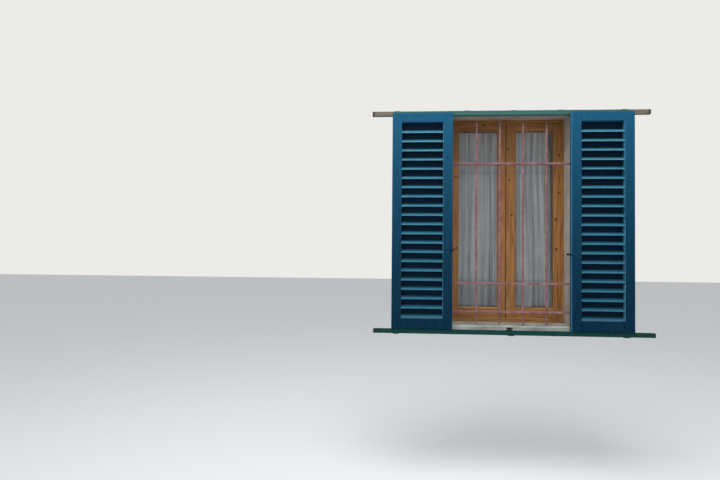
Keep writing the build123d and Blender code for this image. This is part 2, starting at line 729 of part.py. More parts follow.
# Shutters: two tube stiles, two tube rails, folded slats, hangers, wheels and guides
tube_y = (shutter_front_y, shutter_back_y)
louvre_foot = shutter_foot_z + shutter_foot_rail
louvre_top = shutter_top_z - shutter_top_rail
slat_start = louvre_foot + slat_foot_gap + slat_front_lip
axle_z = rail_foot_z + rail_wall + wheel_rise + wheel_r
slat_front_y = shutter_front_y + slat_set_back
slat_back_y = shutter_back_y - slat_set_back
wheel_outer_y = (rail_front_y + rail_wall + wheel_side_gap, rail_back_y - rail_wall - wheel_side_gap)
wheel_inner_y = (wheel_outer_y[0] + wheel_w, wheel_outer_y[1] - wheel_w)
blade_y = (rail_mid_y - hanger_t / 2, rail_mid_y + hanger_t / 2)

shutters = {
    "left": (left_rest_edge - shutter_w, left_rest_edge),
    "right": (right_rest_edge + shutter_w, right_rest_edge),
}
for side_name, (outer_edge, inner_edge) in shutters.items():
    inward = 1 if inner_edge > outer_edge else -1
    stile_x = {
        "outer": sorted((outer_edge, outer_edge + inward * stile_w)),
        "inner": sorted((inner_edge, inner_edge - inward * stile_w)),
    }
    for place, x in stile_x.items():
        with BuildPart() as stile:
            block(x, tube_y, (shutter_foot_z, shutter_top_z))
            fillet(stile.edges().filter_by(Axis.Z), tube_edge_r)
            offset(amount=-tube_wall, openings=stile.faces().sort_by(Axis.Z)[0])
        save(stile, f"{side_name}_shutter_{place}_stile")

    rail_x = sorted((outer_edge + inward * stile_w, inner_edge - inward * stile_w))
    rail_zs = {"top": (louvre_top, shutter_top_z), "foot": (shutter_foot_z, louvre_foot)}
    for place, z in rail_zs.items():
        with BuildPart() as cross_tube:
            block(rail_x, tube_y, z)
            fillet(cross_tube.edges().filter_by(Axis.X), tube_edge_r)
            ends = cross_tube.faces().filter_by(Axis.X)
            offset(amount=-tube_wall, openings=ends)
        save(cross_tube, f"{side_name}_shutter_{place}_rail")

    # Each slat is one strip folded three ways: a front lip, a sloping blade, a back lip
    with BuildPart() as slats:
        for i in range(slat_count):
            z = slat_start + i * slat_pitch
            with BuildSketch(side(rail_x[0])):
                with BuildLine():
                    Polyline(
                        (slat_front_y, z - slat_front_lip), (slat_front_y, z),
                        (slat_back_y - slat_t, z + slat_drop),
                        (slat_back_y - slat_t, z + slat_drop + slat_back_lip),
                    )
                    offset(amount=slat_t, side=Side.RIGHT)
                make_face()
            extrude(amount=rail_x[1] - rail_x[0])
    save(slats, f"{side_name}_shutter_slats")

    hanger_xs = {
        "outer": outer_edge + inward * hanger_inset,
        "inner": inner_edge - inward * hanger_inset,
    }
    with BuildPart() as hangers:
        crank_z = rail_foot_z - hanger_crank_below
        tail_y = shutter_back_y + hanger_t / 2
        for x in hanger_xs.values():
            with BuildSketch(side(x - hanger_w / 2)):
                with BuildLine() as bend:
                    Polyline(
                        (rail_mid_y, axle_z + hanger_head), (rail_mid_y, crank_z),
                        (tail_y, crank_z - hanger_crank_h),
                        (tail_y, crank_z - hanger_crank_h - hanger_tail),
                    )
                    offset(amount=hanger_t / 2, side=Side.BOTH)
                make_face()
            extrude(amount=hanger_w)
            axle_l = wheel_outer_y[1] - wheel_outer_y[0]
            rod(elevation(wheel_outer_y[1]), [(x, axle_z)], axle_r, axle_l)
            collar_y = (wheel_inner_y[0] + collar_gap, wheel_inner_y[1] - collar_gap)
            rod(elevation(collar_y[1]), [(x, axle_z)], collar_r, collar_y[1] - collar_y[0])
    save(hangers, f"{side_name}_shutter_hangers")

    for place, x in hanger_xs.items():
        with BuildPart() as wheels:
            for back_y in (wheel_outer_y[1], wheel_inner_y[0]):
                rod(elevation(back_y), [(x, axle_z)], wheel_r, wheel_w)
            rims = wheels.edges().filter_by(GeomType.CIRCLE)
            chamfer(rims, wheel_tread / 2)
            rod(elevation(wheel_outer_y[1]), [(x, axle_z)], axle_r + axle_run, axle_l,
                Mode.SUBTRACT)
        save(wheels, f"{side_name}_{place}_wheels")

    with BuildPart() as guides:
        for x in hanger_xs.values():
            slack = rail_wall + guide_side_gap
            block((x - guide_l / 2, x + guide_l / 2),
                  (guide_y[0] + slack, guide_y[1] - slack),
                  (guide_rail_foot + rail_wall + guide_floor_gap, shutter_foot_z))
        fillet(guides.edges().filter_by(Axis.Z), guide_edge_r)
        for x in hanger_xs.values():
            plug_w = stile_w / 2 - tube_wall - plug_clear
            block((x - plug_w, x + plug_w),
                  (tube_y[0] + tube_wall + plug_clear, tube_y[1] - tube_wall - plug_clear),
                  (shutter_foot_z, shutter_foot_z + guide_plug_h))
    save(guides, f"{side_name}_shutter_guides")

# Hook on the left shutter: it drops over the pin of the right shutter's keeper
hook_z = shutter_foot_z + hook_height
pivot_x = left_rest_edge - hook_pivot_in
plate_front = shutter_front_y - hook_plate_t
hook_back = plate_front - hook_plate_gap
hook_front = hook_back - hook_t
with BuildPart() as hook_plate:
    block((pivot_x - hook_plate_w / 2, pivot_x + hook_plate_w / 2),
          (plate_front, shutter_front_y),
          (hook_z + hook_plate_lift - hook_plate_h / 2, hook_z + hook_plate_lift + hook_plate_h / 2))
    fillet(hook_plate.edges().filter_by(Axis.Y), hook_plate_edge_r)
    pin_l = hook_t + hook_plate_gap + axle_run
    rod(elevation(plate_front), [(pivot_x, hook_z)], hook_pin_r, pin_l + hook_pin_head_t)
    head_y = plate_front - pin_l
    rod(elevation(head_y), [(pivot_x, hook_z)], hook_pin_head_r, hook_pin_head_t)
save(hook_plate, "shutter_hook_plate")

with BuildPart() as hook:
    half_bar = hook_bar_h / 2
    notch_h = hook_notch_top + half_bar
    with BuildSketch(elevation(hook_back)):
        with Locations(Location((pivot_x, hook_z, 0), (0, 0, hook_rise))):
            Circle(hook_eye_r)
            with Locations((hook_l / 2, 0)):
                Rectangle(hook_l, hook_bar_h)
            with Locations((hook_l - hook_tip_w / 2, (hook_tip_h - half_bar) / 2)):
                Rectangle(hook_tip_w, hook_tip_h + half_bar)
            with Locations((hook_seat_x, hook_notch_top - notch_h / 2)):
                Rectangle(hook_notch_w, notch_h, mode=Mode.SUBTRACT)
            Circle(hook_pin_r + hook_pin_run, mode=Mode.SUBTRACT)
    extrude(amount=hook_t)
save(hook, "shutter_hook")

seat_angle = atan2(hook_seat_z, hook_seat_x) + radians(hook_rise - hook_swing)
seat_reach = (hook_seat_x**2 + hook_seat_z**2) ** 0.5
pin_from_edge = seat_reach * cos(seat_angle) - hook_pivot_in - closed_gap
pin_z = hook_z + seat_reach * sin(seat_angle)
keeper_pin_x = right_rest_edge + pin_from_edge
with BuildPart() as keeper:
    keeper_z = (pin_z - keeper_h / 2, pin_z + keeper_h / 2)
    block((right_rest_edge, right_rest_edge + keeper_tail), (plate_front, shutter_front_y),
          keeper_z)
    block((right_rest_edge - keeper_nose, right_rest_edge),
          (plate_front, shutter_front_y - keeper_nose_lift), keeper_z)
    fillet(keeper.edges().filter_by(Axis.Y).group_by(Axis.X)[-1], keeper_edge_r)
    rod(elevation(plate_front), [(keeper_pin_x, pin_z)], hook_pin_r, keeper_pin_l)
save(keeper, "shutter_keeper")

left_travel = reveal_middle_x - closed_gap / 2 - left_rest_edge
right_travel = right_rest_edge - reveal_middle_x - closed_gap / 2
outer_xs = {-1: left_rest_edge - shutter_w + hanger_inset,
            1: right_rest_edge + shutter_w - hanger_inset}
for hand, outer_x in outer_xs.items():
    in_top = top_rail_l / 2 - hand * outer_x - hanger_w / 2
    in_guide = guide_rail_l / 2 + hand * (guide_rail_shift - outer_x) - guide_l / 2
    print("outward travel:", hand, min(in_top, in_guide) - cap_plug - stop_gap)
print("inward travel:", left_travel, right_travel)
print("hinge axis:", reveal_middle_x - hinge_axis_out, reveal_middle_x + hinge_axis_out, hinge_y)
print("wheel axles:", axle_z, rail_mid_y, "handle:", bolt_x, case_z, "hook:", pivot_x, hook_z)
print("sill, soffit:", sill_z, soffit_z, "wheel turn for a metre:", degrees(1000 / wheel_r))
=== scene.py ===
import math

import bmesh
import bpy
from mathutils import Matrix, Vector


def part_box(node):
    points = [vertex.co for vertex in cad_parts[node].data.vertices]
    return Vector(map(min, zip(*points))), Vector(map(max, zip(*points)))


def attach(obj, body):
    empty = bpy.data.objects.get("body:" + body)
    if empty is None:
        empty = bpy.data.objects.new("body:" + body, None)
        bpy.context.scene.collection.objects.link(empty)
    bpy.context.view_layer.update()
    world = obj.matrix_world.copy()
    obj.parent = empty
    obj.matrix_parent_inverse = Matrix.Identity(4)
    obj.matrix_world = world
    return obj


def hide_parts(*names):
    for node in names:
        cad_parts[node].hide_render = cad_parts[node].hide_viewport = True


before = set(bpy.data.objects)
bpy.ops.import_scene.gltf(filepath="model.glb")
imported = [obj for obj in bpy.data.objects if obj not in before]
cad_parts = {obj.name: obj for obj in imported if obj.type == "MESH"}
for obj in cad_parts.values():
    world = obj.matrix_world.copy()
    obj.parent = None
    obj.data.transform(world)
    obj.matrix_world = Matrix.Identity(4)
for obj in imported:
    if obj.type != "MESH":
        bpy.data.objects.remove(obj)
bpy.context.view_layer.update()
bpy.context.scene.view_settings.view_transform = "Standard"

# The reveal: lime plaster floated over the masonry of the opening, with a sand finish.
# It is one continuous skin over the head and both sides, dull, dusty and a little uneven.
plaster_light, plaster_dark = "#dad5cd", "#b6b2ab"
plaster_grain_mm = 0.9


def colour(code):
    """A six-figure sRGB code as the linear colour that a shader socket holds."""
    parts = [int(code[i : i + 2], 16) / 255 for i in (1, 3, 5)]
    return [p / 12.92 if p <= 0.04045 else ((p + 0.055) / 1.055) ** 2.4 for p in parts] + [1.0]


def add(tree, kind, sockets=None, **settings):
    """Adds a shader node, sets its settings, and sets or links its input sockets."""
    made = tree.nodes.new("ShaderNode" + kind)
    for name, value in settings.items():
        setattr(made, name, value)
    for name, value in (sockets or {}).items():
        if isinstance(value, bpy.types.NodeSocket):
            tree.links.new(value, made.inputs[name])
        else:
            made.inputs[name].default_value = value
    return made


def start_finish(name, roughness, specular=0.5, metallic=0.0):
    """A new material, its tree, its one shader, and a piece's own coordinates."""
    finish = bpy.data.materials.new(name)
    finish.use_nodes = True
    tree = finish.node_tree
    tree.nodes.clear()
    shader = add(tree, "BsdfPrincipled", {"Roughness": roughness, "Metallic": metallic,
                                          "Specular IOR Level": specular})
    tree.links.new(shader.outputs[0], add(tree, "OutputMaterial").inputs["Surface"])
    return finish, tree, shader, add(tree, "TexCoord").outputs["Object"]


def noise(tree, place, size_mm, detail=3.0, stretch=(1, 1, 1), rough=0.55):
    """A noise whose patches are about size_mm across, longer where stretch is over one."""
    spread = add(tree, "Mapping", {0: place, "Scale": [1000 / size_mm / s for s in stretch]})
    made = add(tree, "TexNoise", {"Vector": spread.outputs[0], "Scale": 1.0, "Detail": detail,
                                  "Roughness": rough})
    return made.outputs["Fac"]


def ramp(tree, fac, stops):
    """A colour ramp from (position, colour) stops, read by a factor."""
    made = add(tree, "ValToRGB", {"Fac": fac})
    ends = made.color_ramp.elements
    while len(ends) < len(stops):
        ends.new(0.5)
    for end, (position, code) in zip(ends, stops):
        end.position = position
        end.color = colour(code) if isinstance(code, str) else [code, code, code, 1.0]
    return made.outputs["Color"]


def blend_in(tree, fac, under, over):
    """The under colour with the over colour laid on it where the factor is high."""
    made = add(tree, "Mix", data_type="RGBA")
    for socket, value in ((0, fac), (6, under), (7, over)):
        value = colour(value) if isinstance(value, str) else value
        if isinstance(value, bpy.types.NodeSocket):
            tree.links.new(value, made.inputs[socket])
        else:
            made.inputs[socket].default_value = value
    return made.outputs[2]


def raise_bump(tree, shader, height, depth_mm, strength=1.0):
    """Gives the shader a bump of a real depth."""
    bump = add(tree, "Bump", {"Height": height, "Distance": depth_mm / 1000,
                              "Strength": strength})
    tree.links.new(bump.outputs[0], shader.inputs["Normal"])


def dress(finish, *names):
    """Gives CAD nodes a finish in each of their material slots."""
    for name in names:
        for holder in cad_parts[name].material_slots:
            holder.material = finish


finish, tree, shader, place = start_finish("lime_plaster", 0.92, 0.2)
patches = ramp(tree, noise(tree, place, 130), [(0.3, plaster_dark), (0.7, plaster_light)])
grit = noise(tree, place, plaster_grain_mm * 2, 2.0)
tree.links.new(blend_in(tree, ramp(tree, grit, [(0.45, 0.0), (0.75, 0.35)]), patches, "#77726a"),
               shader.inputs["Base Color"])
raise_bump(tree, shader, grit, plaster_grain_mm)
dress(finish, "reveal_lining")

# The sill: one slab of pale limestone, sawn and honed, bedded under the reveal.
# Rain has darkened it in blotches, and the nose is a little stained.
finish, tree, shader, place = start_finish("honed_limestone", 0.7, 0.3)
veins = ramp(tree, noise(tree, place, 60, 6.0, (2, 1, 1)), [(0.32, "#8f9188"), (0.62, "#c3c6bc")])
specks = ramp(tree, noise(tree, place, 4, 2.0), [(0.55, 0.0), (0.75, 0.5)])
tree.links.new(blend_in(tree, specks, veins, "#7b7d74"), shader.inputs["Base Color"])
raise_bump(tree, shader, noise(tree, place, 3, 3.0), 0.4)
dress(finish, "sill_slab")

# The casement frame and sashes: Scots pine under an orange spirit varnish, satin.
# The grain runs along each member: stiles stand, and the rails lie between them.
sight_low, sight_high = -0.630, 0.716
sights = {"left": (-0.325, -0.0315), "right": (0.1055, 0.385)}
ring_mm, knot_mm, joint_mm = 46.0, 8.0, 1.2
pine_light, pine_mid, pine_dark, knot_dark = "#b5834a", "#a06d3b", "#865530", "#2a160c"
knot_spots = [(-0.350, 0.369), (0.045, 0.580), (0.056, 0.345), (0.074, 0.072), (0.428, 0.531),
              (0.428, 0.245), (0.402, 0.044), (0.409, -0.182), (-0.140, 0.767), (-0.010, -0.395),
              (0.240, -0.672)]


def maths(tree, operation, *values):
    """One maths node on numbers or sockets."""
    return add(tree, "Math", dict(enumerate(values)), operation=operation).outputs[0]


def between(tree, value, low, high):
    """One where a value lies between two others, else nought."""
    return maths(tree, "MULTIPLY", maths(tree, "GREATER_THAN", value, low),
                 maths(tree, "LESS_THAN", value, high))


def pine(name, sight=None):
    """Varnished pine: grain along X, or along Z beside an opening and X above and below."""
    finish, tree, shader, place = start_finish(name, 0.4, 0.4)
    x, y, z = add(tree, "SeparateXYZ", {0: place}).outputs
    if sight:
        above = maths(tree, "GREATER_THAN", z, sight_high)
        below = maths(tree, "LESS_THAN", z, sight_low)
        level = maths(tree, "MULTIPLY", between(tree, x, *sight),
                      maths(tree, "MAXIMUM", above, below))
        off = [maths(tree, "ABSOLUTE", maths(tree, "SUBTRACT", x, edge)) for edge in sight]
        near = maths(tree, "LESS_THAN", maths(tree, "MINIMUM", *off), joint_mm / 2000)
        joint = maths(tree, "MULTIPLY", near, maths(tree, "MAXIMUM", above, below))
    else:
        level, joint = 1.0, 0.0
    across = add(tree, "CombineXYZ", {0: z, 1: y, 2: x}).outputs[0]
    turned = add(tree, "Mix", {0: level}, data_type="VECTOR")
    tree.links.new(place, turned.inputs[4])
    tree.links.new(across, turned.inputs[5])
    along = turned.outputs[1]
    figure = noise(tree, along, ring_mm, 1.0, (1, 1, 22))
    rings = maths(tree, "PINGPONG", maths(tree, "MULTIPLY", figure, 16.0), 1.0)
    grain = ramp(tree, rings, [(0.0, pine_dark), (0.3, pine_mid), (0.75, pine_light)])
    fibres = noise(tree, along, 1.4, 3.0, (1, 1, 30))
    wood = blend_in(tree, ramp(tree, fibres, [(0.4, 0.0), (0.8, 0.5)]), grain, pine_dark)
    stain = ramp(tree, noise(tree, along, 160, 2.0, (1, 1, 3)), [(0.35, 0.0), (0.7, 0.45)])
    wood = blend_in(tree, stain, wood, pine_mid)
    flat = add(tree, "CombineXYZ", {0: x, 1: 0.0, 2: z}).outputs[0]
    nearest = 1.0
    for spot in knot_spots:
        gap = add(tree, "VectorMath", {0: flat, 1: [spot[0], 0.0, spot[1]]},
                  operation="DISTANCE").outputs["Value"]
        nearest = maths(tree, "MINIMUM", nearest, gap)
    ragged = maths(tree, "MULTIPLY_ADD", noise(tree, place, 9), 0.006, nearest)
    knot = add(tree, "MapRange", {0: ragged, 1: knot_mm / 1000, 2: knot_mm / 500,
                                  3: 1.0, 4: 0.0}).outputs[0]
    wood = blend_in(tree, maths(tree, "POWER", knot, 1.6), wood, knot_dark)
    tree.links.new(blend_in(tree, joint, wood, knot_dark), shader.inputs["Base Color"])
    raise_bump(tree, shader, fibres, 0.12)
    return finish


dress(pine("varnished_pine_level"), "frame_head", "frame_foot")
dress(pine("varnished_pine_upright", (1.0, 2.0)), "frame_left_jamb", "frame_right_jamb")
for side, sight in sights.items():
    dress(pine(f"varnished_pine_{side}_sash", sight), f"{side}_sash_frame", f"{side}_sash_beads")

# Screws of the frame, the rails and the brackets: steel, zinc plated and gone dull.
# They sit in their holes with flat heads.
finish, tree, shader, place = start_finish("dull_zinc_plate", 0.42, metallic=1.0)
bloom = ramp(tree, noise(tree, place, 6), [(0.35, "#7d8084"), (0.65, "#a9acb0")])
tree.links.new(bloom, shader.inputs["Base Color"])
dress(finish, "frame_screws", "rail_screws", "bracket_screws", "top_bolt", "foot_bolt")

# The hinges: turned steel barrels with a thin brass plate, satin and finger-marked.
# Each half is screwed into its timber by a shank at forty-five degrees.
finish, tree, shader, place = start_finish("satin_brass_plate", 0.34, metallic=1.0)
marks = ramp(tree, noise(tree, place, 9), [(0.35, "#a8863f"), (0.7, "#c9a862")])
tree.links.new(marks, shader.inputs["Base Color"])
dress(finish, "frame_hinge_halves", "left_sash_hinge_halves", "right_sash_hinge_halves")

# The panes: float glass, four millimetres, a little green, held by the pine beads.
# They reflect the street and let the nets show through.
finish, tree, shader, place = start_finish("float_glass", 0.0)
shader.inputs["Base Color"].default_value = colour("#eef1f0")
shader.inputs["Transmission Weight"].default_value = 1.0
shader.inputs["IOR"].default_value = 1.5
dress(finish, "left_sash_glass", "right_sash_glass")

# The espagnolette: a satin anodised lever on a flanged case let into the right stile.
# Fine brush lines run round the case and along the lever.
finish, tree, shader, place = start_finish("satin_anodised_aluminium", 0.36, metallic=1.0)
brushed = noise(tree, place, 0.8, 2.0, (1, 1, 20))
tree.links.new(ramp(tree, brushed, [(0.3, "#b4b4b0"), (0.7, "#c8c8c4")]),
               shader.inputs["Base Color"])
raise_bump(tree, shader, brushed, 0.03)
dress(finish, "handle", "handle_case")

# The curtain rods: steel bars with white lacquer, their bent ends against the stiles.
# The lacquer is smooth and slightly yellowed.
finish, tree, shader, place = start_finish("white_lacquer", 0.3)
tree.links.new(ramp(tree, noise(tree, place, 40), [(0.3, "#d9d6cc"), (0.7, "#e6e4dc")]),
               shader.inputs["Base Color"])
dress(finish, "left_curtain_rod", "right_curtain_rod")

# The nets: fine polyester voile, hemmed to hang from a casing gathered on the rod.
# The gathers are tight at the casing and open into soft uneven folds below.
cloth_fullness, cloth_t = 1.14, 0.0004
net_columns, net_rows, row_crowding = 260, 70, 1.35
casing_drop, ruffle_rise, fold_opening = 0.012, 0.012, 0.16
gather_count, gather_depth = 34, 0.0022
fold_count, fold_depth = 6.2, 0.0056
ripple_count, ripple_depth, sway = 17, 0.0011, 0.0012
casing_reach, casing_loose = 0.008, 0.0032
thread_mm, shade_band_mm = 2.4, 16


def net_finish():
    """Voile: a thread grid on the cloth's own UV map, drawn coarser than real threads
    so that it shows, and bands of painted shade where fewer layers overlap."""
    finish, tree, shader, place = start_finish("polyester_voile", 0.85, 0.2)
    uv = add(tree, "UVMap", uv_map="cloth").outputs[0]
    # A wave texture turns through twenty radians per unit of its scale.
    wave_scale = 2 * math.pi / 20 * 1000 / thread_mm
    threads = [add(tree, "TexWave", {"Vector": uv, "Scale": wave_scale}, wave_type="BANDS",
                   bands_direction=way).outputs["Fac"] for way in "XY"]
    grid = maths(tree, "MAXIMUM", *threads)
    shade = blend_in(tree, grid, "#bcc1cb", "#e6e8f0")
    soiled = ramp(tree, noise(tree, place, 140), [(0.3, "#eceeef"), (0.7, "#ffffff")])
    # Painted shade in long bands, where fewer layers of cloth overlap.
    layers = noise(tree, place, shade_band_mm, 1.0, (1, 1, 60))
    shade = blend_in(tree, ramp(tree, layers, [(0.42, 0.55), (0.62, 0.0)]), shade, "#6f7780")
    mixed = add(tree, "Mix", {0: 1.0}, data_type="RGBA", blend_type="MULTIPLY")
    tree.links.new(shade, mixed.inputs[6])
    tree.links.new(soiled, mixed.inputs[7])
    tree.links.new(mixed.outputs[2], shader.inputs["Base Color"])
    shader.inputs["Sheen Weight"].default_value = 0.25
    raise_bump(tree, shader, grid, 0.1)
    return finish


voile = net_finish()


def hang_net(side, phase):
    """One gathered net from its ruffle down to its hem, as a solid thin sheet."""
    low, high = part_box(f"{side}_net_curtain")
    rod_low, rod_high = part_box(f"{side}_curtain_rod")
    rod_radius = (rod_high[2] - rod_low[2]) / 2
    rod_y, rod_z = rod_high[1] - rod_radius, (rod_low[2] + rod_high[2]) / 2
    reach = rod_radius + casing_reach
    width, top, foot = high[0] - low[0], rod_z + rod_radius + ruffle_rise, low[2]
    mesh = bpy.data.meshes.new(f"{side}_voile")
    sheet = bmesh.new()
    cloth_uv = sheet.loops.layers.uv.new("cloth")
    rows, places = [], {}
    for j in range(net_rows + 1):
        fall = (j / net_rows) ** row_crowding
        z = top + (foot - top) * fall
        below = rod_z - rod_radius - casing_drop - z
        opened = min(1.0, max(0.0, below / fold_opening))
        row = []
        for i in range(net_columns + 1):
            u = i / net_columns
            drift = 0.35 * math.sin(5.1 * u + phase) + 0.2 * math.sin(3.0 * z + 2 * phase)
            tight = gather_depth * math.sin(2 * math.pi * gather_count * u + 3 * drift)
            turns = fold_count * u + drift * 0.5
            loose = fold_depth * math.sin(2 * math.pi * turns + 0.8 * z)
            loose += ripple_depth * math.sin(2 * math.pi * ripple_count * u + 2.2 * phase)
            y = rod_y + (1 - opened) * tight + opened * loose
            if abs(z - rod_z) < reach:
                around = math.cos((z - rod_z) / reach * math.pi / 2)
                y -= (rod_radius + casing_loose) * around
            x = low[0] + width * u + opened * sway * math.sin(17 * u + 9 * z + phase)
            vert = sheet.verts.new((x, y, z))
            places[vert] = (u * width * cloth_fullness, z)
            row.append(vert)
        rows.append(row)
    for upper, lower in zip(rows, rows[1:]):
        for i in range(net_columns):
            face = sheet.faces.new((upper[i], lower[i], lower[i + 1], upper[i + 1]))
            face.smooth = True
            for loop in face.loops:
                loop[cloth_uv].uv = places[loop.vert]
    area = sum(face.calc_area() for face in sheet.faces)
    sheet.to_mesh(mesh)
    sheet.free()
    net = bpy.data.objects.new(f"{side}_net", mesh)
    bpy.context.scene.collection.objects.link(net)
    mesh.materials.append(voile)
    bpy.ops.object.select_all(action="DESELECT")
    bpy.context.view_layer.objects.active = net
    net.select_set(True)
    thick = net.modifiers.new("thick", "SOLIDIFY")
    thick.thickness, thick.offset = cloth_t, 0.0
    bpy.ops.object.modifier_apply(modifier="thick")
    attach(net, f"{side}_sash")
    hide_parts(f"{side}_net_curtain")


hang_net("left", 0.7)
hang_net("right", 2.9)

# The grille: flat mild-steel bars between the reveal's sides, drilled for round uprights.
# Red-oxide primer has faded to a dusty pink, with darker rust where water stands.
finish, tree, shader, place = start_finish("faded_red_oxide_paint", 0.62, 0.25)
faded = ramp(tree, noise(tree, place, 45, 4.0),
             [(0.3, "#7f5556"), (0.55, "#9a7070"), (0.75, "#b08a89")])
rust = ramp(tree, noise(tree, place, 14, 5.0, (1, 1, 3)), [(0.58, 0.0), (0.7, 0.75)])
tree.links.new(blend_in(tree, rust, faded, "#5a3530"), shader.inputs["Base Color"])
raise_bump(tree, shader, noise(tree, place, 5), 0.25)
dress(finish, *[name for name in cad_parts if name.startswith("grille_")])

# The rails: channels of folded steel, brush painted. The top one is teal over the
# opening and weathered to a brown grey at its ends; the guide rail is dark green.
teal_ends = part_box("left_shutter_outer_stile")[0][0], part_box("right_shutter_outer_stile")[1][0]
end_grime_mm, end_grime_share = 13.0, 0.75
teal_ragged, teal_fade = 0.12, 0.04


def rail_paint(name, rail, middle, ends, wear_and_highlight):
    """Paint that changes past the open shutters, scuffed, and dark at the rail's ends."""
    finish, tree, shader, place = start_finish(name, 0.6, 0.08)
    across = add(tree, "SeparateXYZ", {0: place}).outputs["X"]
    away = maths(tree, "ABSOLUTE", maths(tree, "SUBTRACT", across, sum(teal_ends) / 2))
    patches = noise(tree, place, 50, 4.0, (2, 1, 1))
    ragged = maths(tree, "MULTIPLY_ADD", patches, teal_ragged, away)
    reach = (teal_ends[1] - teal_ends[0]) / 2
    past = add(tree, "MapRange", {0: ragged, 1: reach + teal_fade,
                                  2: reach + 2 * teal_fade}).outputs[0]
    paint = blend_in(tree, past, middle, ends)
    scuffs = ramp(tree, noise(tree, place, 9, 5.0, (4, 1, 1)), [(0.56, 0.0), (0.68, 0.8)])
    paint = blend_in(tree, scuffs, paint, wear_and_highlight)
    low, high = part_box(rail)
    inside = between(tree, across, low[0] + end_grime_mm / 1000, high[0] - end_grime_mm / 1000)
    clean = maths(tree, "MULTIPLY", inside, end_grime_share)
    grime = maths(tree, "SUBTRACT", end_grime_share, clean)
    tree.links.new(blend_in(tree, grime, paint, "#2e2d28"), shader.inputs["Base Color"])
    raise_bump(tree, shader, noise(tree, place, 4, 3.0, (5, 1, 1)), 0.15)
    return finish


dress(rail_paint("weathered_teal_paint", "top_rail", "#3f6d65", "#7d7465", "#4a5a55"),
      "top_rail", "top_rail_brackets")
dress(rail_paint("dark_green_paint", "guide_rail", "#164640", "#20443d", "#0d241f"),
      "guide_rail")

# Hangers, stop and end caps: cut and bent steel with a dark grey brushed paint. The guide
# rail's brackets took the rail's green at its ends, and only the middle one is grey.
middle_bracket_half = 0.05


def dusty_grey(tree, place):
    """Dark grey paint with paler dust in patches."""
    return ramp(tree, noise(tree, place, 18, 4.0), [(0.35, "#23282a"), (0.7, "#3a4040")])


finish, tree, shader, place = start_finish("dark_grey_paint", 0.55, 0.15)
tree.links.new(dusty_grey(tree, place), shader.inputs["Base Color"])
raise_bump(tree, shader, noise(tree, place, 5), 0.15)
dress(finish, "rail_end_caps", "centre_stop", "left_shutter_hangers",
      "right_shutter_hangers")
finish, tree, shader, place = start_finish("green_and_grey_paint", 0.6, 0.08)
across = add(tree, "SeparateXYZ", {0: place}).outputs["X"]
middle_one = between(tree, across, -middle_bracket_half, middle_bracket_half)
tree.links.new(blend_in(tree, middle_one, "#1c443d", dusty_grey(tree, place)),
               shader.inputs["Base Color"])
raise_bump(tree, shader, noise(tree, place, 5), 0.15)
dress(finish, "guide_rail_brackets")

# The shutters: folded sheet-steel slats welded between tube stiles and rails, sprayed
# blue. The gloss has gone to satin, paler at the top and darker at the foot, with a chip on the
# right stile.
shutter_low, shutter_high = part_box("left_shutter_outer_stile")
louvre_edges = [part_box(f"{side}_shutter_slats")[end][0] for side in ("left", "right")
                for end in (0, 1)]
slats_low, slats_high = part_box("left_shutter_slats")
chip_at, chip_mm, highlight_mm = (louvre_edges[3], shutter_low[1], -0.441), 7.0, 2.5
# The right shutter's inner front arris gets a painted highlight, this far back from its face.
lit_arris_x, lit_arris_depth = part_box("right_shutter_inner_stile")[0][0], 0.024
# Strengths of the painted highlights, then of the slats' painted half shade; below, the depths
# over which painted shade darkens the slats towards their back.
highlight_shares, lit_arris_share, half_shade_share = (0.25, 0.8, 0.25, 0.9), 0.7, 0.6
half_shade_from, half_shade_to, shade_from, shade_to = 0.004, 0.022, 0.010, 0.003


